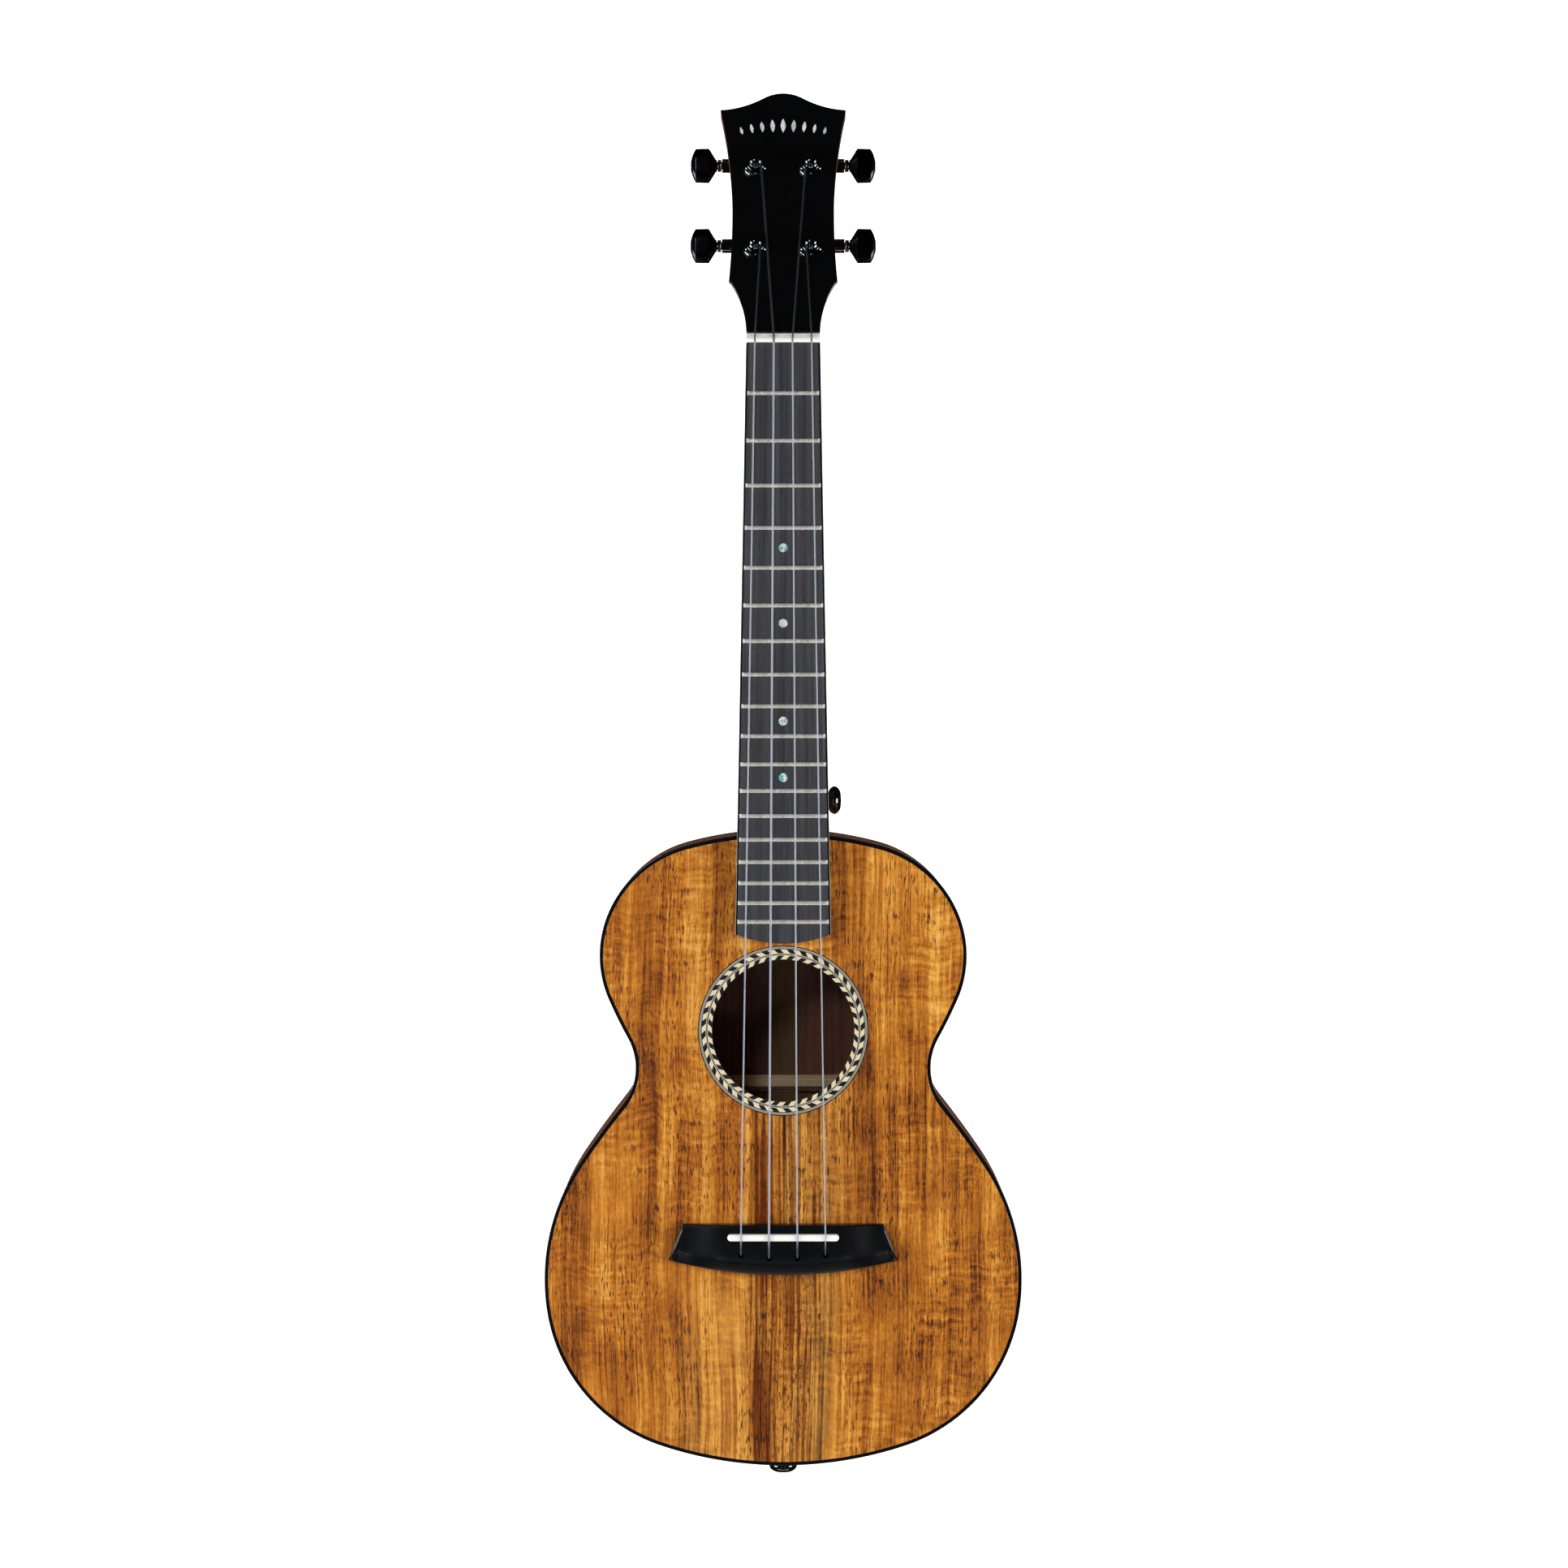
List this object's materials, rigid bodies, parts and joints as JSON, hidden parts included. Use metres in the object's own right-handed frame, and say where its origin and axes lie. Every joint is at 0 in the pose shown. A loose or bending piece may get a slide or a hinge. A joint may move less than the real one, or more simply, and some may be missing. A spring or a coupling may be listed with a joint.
{
  "type": "tenor ukulele",
  "caption": "Acoustic tenor ukulele with a waisted hollow body, round soundhole, fretted neck, tilted head with geared tuning machines, and strap buttons.",
  "frame": {"origin": "centre of the bounding box in plan, on the flat back that the instrument lies on", "axes": "+Z out of the soundboard, +Y from the tail to the head, +X towards the treble side"},
  "size_m": [0.2304, 0.6737, 0.0829],
  "materials": {
    "koa_top": "gloss",
    "side_wood": "gloss",
    "neck_wood": "satin",
    "brace_wood": "matte",
    "block_wood": "matte",
    "black_binding": "gloss",
    "rosette_inlay": "gloss",
    "ebony": "satin",
    "black_gloss": "gloss",
    "bridge_wood": "satin",
    "bone": "satin",
    "fret_nickel": "polished",
    "string_nylon": "gloss",
    "black_chrome": "gloss",
    "gear_steel": "satin",
    "black_plastic": "gloss"
  },
  "bodies": {
    "root": {"back_bracing": "brace_wood", "back_plate": "side_wood", "bridge": "bridge_wood", "fingerboard": "ebony", "fret_01": "fret_nickel", "fret_02": "fret_nickel", "fret_03": "fret_nickel", "fret_04": "fret_nickel", "fret_05": "fret_nickel", "fret_06": "fret_nickel", "fret_07": "fret_nickel", "fret_08": "fret_nickel", "fret_09": "fret_nickel", "fret_10": "fret_nickel", "fret_11": "fret_nickel", "fret_12": "fret_nickel", "fret_13": "fret_nickel", "fret_14": "fret_nickel", "fret_15": "fret_nickel", "fret_16": "fret_nickel", "fret_17": "fret_nickel", "fret_18": "fret_nickel", "head_veneer": "black_gloss", "neck": "neck_wood", "neck_block": "block_wood", "nut": "bone", "rosette": "rosette_inlay", "saddle": "bone", "side_bass": "side_wood", "side_treble": "side_wood", "soundboard": "koa_top", "strap_button_heel": "black_plastic", "strap_button_tail": "black_plastic", "string_1": "string_nylon", "string_2": "string_nylon", "string_3": "string_nylon", "string_4": "string_nylon", "tail_block": "block_wood", "top_binding": "black_binding", "top_bracing": "brace_wood", "tuner_1_bushing": "black_chrome", "tuner_1_housing": "black_chrome", "tuner_2_bushing": "black_chrome", "tuner_2_housing": "black_chrome", "tuner_3_bushing": "black_chrome", "tuner_3_housing": "black_chrome", "tuner_4_bushing": "black_chrome", "tuner_4_housing": "black_chrome"},
    "tuner_1_post": {"tuner_1_post": "black_chrome"},
    "tuner_1_knob": {"tuner_1_knob": "black_chrome", "tuner_1_worm_shaft": "gear_steel"},
    "tuner_2_post": {"tuner_2_post": "black_chrome"},
    "tuner_2_knob": {"tuner_2_knob": "black_chrome", "tuner_2_worm_shaft": "gear_steel"},
    "tuner_3_post": {"tuner_3_post": "black_chrome"},
    "tuner_3_knob": {"tuner_3_knob": "black_chrome", "tuner_3_worm_shaft": "gear_steel"},
    "tuner_4_post": {"tuner_4_post": "black_chrome"},
    "tuner_4_knob": {"tuner_4_knob": "black_chrome", "tuner_4_worm_shaft": "gear_steel"}
  },
  "joints": [
    {"name": "tuner_1_knob_turn", "type": "hinge", "parent": "root", "child": "tuner_1_knob", "pos_m": [0.01335, 0.26313, 0.04072], "axis": [1, 0, 0], "continuous": true},
    {"name": "tuner_1_post_turn", "type": "hinge", "parent": "root", "child": "tuner_1_post", "pos_m": [0.01335, 0.26119, 0.06175], "axis": [0, 0.2334, 0.9724], "continuous": true},
    {"name": "tuner_2_knob_turn", "type": "hinge", "parent": "root", "child": "tuner_2_knob", "pos_m": [0.01335, 0.30314, 0.03111], "axis": [1, 0, 0], "continuous": true},
    {"name": "tuner_2_post_turn", "type": "hinge", "parent": "root", "child": "tuner_2_post", "pos_m": [0.01335, 0.3012, 0.05214], "axis": [0, 0.2334, 0.9724], "continuous": true},
    {"name": "tuner_3_knob_turn", "type": "hinge", "parent": "root", "child": "tuner_3_knob", "pos_m": [-0.01335, 0.30314, 0.03111], "axis": [1, 0, 0], "continuous": true},
    {"name": "tuner_3_post_turn", "type": "hinge", "parent": "root", "child": "tuner_3_post", "pos_m": [-0.01335, 0.3012, 0.05214], "axis": [0, 0.2334, 0.9724], "continuous": true},
    {"name": "tuner_4_knob_turn", "type": "hinge", "parent": "root", "child": "tuner_4_knob", "pos_m": [-0.01335, 0.26313, 0.04072], "axis": [1, 0, 0], "continuous": true},
    {"name": "tuner_4_post_turn", "type": "hinge", "parent": "root", "child": "tuner_4_post", "pos_m": [-0.01335, 0.26119, 0.06175], "axis": [0, 0.2334, 0.9724], "continuous": true}
  ],
  "couplings": [
    {"joint": "tuner_1_post_turn", "follows": "tuner_1_knob_turn", "ratio": 0.071429},
    {"joint": "tuner_2_post_turn", "follows": "tuner_2_knob_turn", "ratio": 0.071429},
    {"joint": "tuner_3_post_turn", "follows": "tuner_3_knob_turn", "ratio": 0.071429},
    {"joint": "tuner_4_post_turn", "follows": "tuner_4_knob_turn", "ratio": 0.071429}
  ]
}
